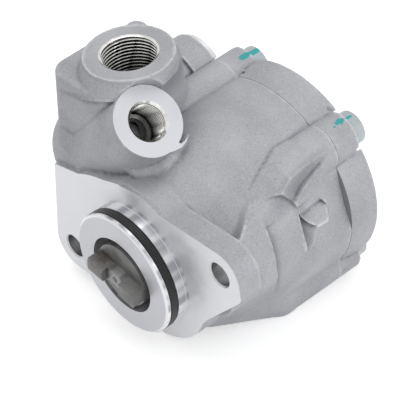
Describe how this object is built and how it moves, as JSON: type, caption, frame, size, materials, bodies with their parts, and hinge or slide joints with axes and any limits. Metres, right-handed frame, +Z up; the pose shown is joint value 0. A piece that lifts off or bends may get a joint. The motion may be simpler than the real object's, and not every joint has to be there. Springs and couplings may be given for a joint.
{
  "type": "power steering pump",
  "caption": "Flange-mounted balanced vane pump in a cast housing, with a piloted drive end, a suction port on top and a pressure port at 45 degrees.",
  "frame": {"origin": "centre of the pilot in the machined mounting face", "axes": "+Y along the shaft to the rear cover, +Z up out of the suction port, +X to the right seen from the drive end"},
  "size_m": [0.1368, 0.1197, 0.129],
  "materials": {
    "cast_aluminium": "as cast, fine sandy grain, machined on faces and bores",
    "zinc_steel": "blue-white zinc plate",
    "dark_steel": "dark phosphate",
    "phosphated_steel": "manganese phosphate, slightly worn",
    "ground_steel": "ground bright steel",
    "sintered_steel": "sintered, ground faces",
    "bronze": "plain bronze",
    "black_rubber": "moulded nitrile rubber"
  },
  "bodies": {
    "pump_body": {"housing": "cast_aluminium", "rear_cover": "cast_aluminium", "cover_screws": "zinc_steel", "lock_washers": "dark_steel", "cover_seal": "black_rubber", "pilot_o_ring": "black_rubber", "bearing_retaining_ring": "dark_steel", "bearing_outer_race": "ground_steel", "shaft_seal": "black_rubber", "dowel_pins": "ground_steel", "front_plate": "sintered_steel", "cam_ring": "sintered_steel", "rear_plate": "sintered_steel", "rear_plate_seal": "black_rubber", "disc_spring": "dark_steel", "rear_bush": "bronze", "flow_spring": "dark_steel", "valve_plug": "zinc_steel", "valve_plug_seal": "black_rubber"},
    "shaft": {"drive_coupling": "phosphated_steel", "drive_shaft": "ground_steel", "bearing_inner_race": "ground_steel", "rotor": "sintered_steel", "rotor_retaining_ring": "dark_steel"},
    "bearing_cage": {"bearing_balls": "ground_steel"},
    "spool": {"flow_spool": "ground_steel", "relief_screw": "sintered_steel", "relief_spring": "dark_steel"},
    "relief_ball": {"relief_ball": "ground_steel"},
    "vane_01": {"vane_01": "ground_steel"},
    "vane_02": {"vane_02": "ground_steel"},
    "vane_03": {"vane_03": "ground_steel"},
    "vane_04": {"vane_04": "ground_steel"},
    "vane_05": {"vane_05": "ground_steel"},
    "vane_06": {"vane_06": "ground_steel"},
    "vane_07": {"vane_07": "ground_steel"},
    "vane_08": {"vane_08": "ground_steel"},
    "vane_09": {"vane_09": "ground_steel"},
    "vane_10": {"vane_10": "ground_steel"}
  },
  "joints": [
    {"name": "shaft_spin", "type": "hinge", "parent": "pump_body", "child": "shaft", "pos_m": [0, 0, 0], "axis": [0, 1, 0], "continuous": true},
    {"name": "cage_spin", "type": "hinge", "parent": "pump_body", "child": "bearing_cage", "pos_m": [0, 0.009, 0], "axis": [0, 1, 0], "continuous": true},
    {"name": "spool_slide", "type": "slide", "parent": "pump_body", "child": "spool", "axis": [-0.7071, 0, -0.7071], "range_m": [0, 0.0035], "stiffness_N_per_m": 6000, "springref_m": -0.002, "deforming": ["flow_spring"]},
    {"name": "relief_lift", "type": "slide", "parent": "spool", "child": "relief_ball", "axis": [-0.7071, 0, -0.7071], "range_m": [0, 0.0008], "stiffness_N_per_m": 2000, "springref_m": -0.0005, "deforming": ["relief_spring"]},
    {"name": "vane_01_slide", "type": "slide", "parent": "shaft", "child": "vane_01", "axis": [1, 0, 0], "range_m": [0, 0.00322]},
    {"name": "vane_02_slide", "type": "slide", "parent": "shaft", "child": "vane_02", "axis": [0.809, 0, 0.5878], "range_m": [0, 0.00201]},
    {"name": "vane_03_slide", "type": "slide", "parent": "shaft", "child": "vane_03", "axis": [0.309, 0, 0.9511], "range_m": [0, 0.00044]},
    {"name": "vane_04_slide", "type": "slide", "parent": "shaft", "child": "vane_04", "axis": [-0.309, 0, 0.9511], "range_m": [0, 0.00044]},
    {"name": "vane_05_slide", "type": "slide", "parent": "shaft", "child": "vane_05", "axis": [-0.809, 0, 0.5878], "range_m": [0, 0.00201]},
    {"name": "vane_06_slide", "type": "slide", "parent": "shaft", "child": "vane_06", "axis": [-1, 0, 0], "range_m": [0, 0.00322]},
    {"name": "vane_07_slide", "type": "slide", "parent": "shaft", "child": "vane_07", "axis": [-0.809, 0, -0.5878], "range_m": [0, 0.00201]},
    {"name": "vane_08_slide", "type": "slide", "parent": "shaft", "child": "vane_08", "axis": [-0.309, 0, -0.9511], "range_m": [0, 0.00044]},
    {"name": "vane_09_slide", "type": "slide", "parent": "shaft", "child": "vane_09", "axis": [0.309, 0, -0.9511], "range_m": [0, 0.00044]},
    {"name": "vane_10_slide", "type": "slide", "parent": "shaft", "child": "vane_10", "axis": [0.809, 0, -0.5878], "range_m": [0, 0.00201]}
  ],
  "couplings": [
    {"joint": "cage_spin", "follows": "shaft_spin", "ratio": 0.3846}
  ]
}
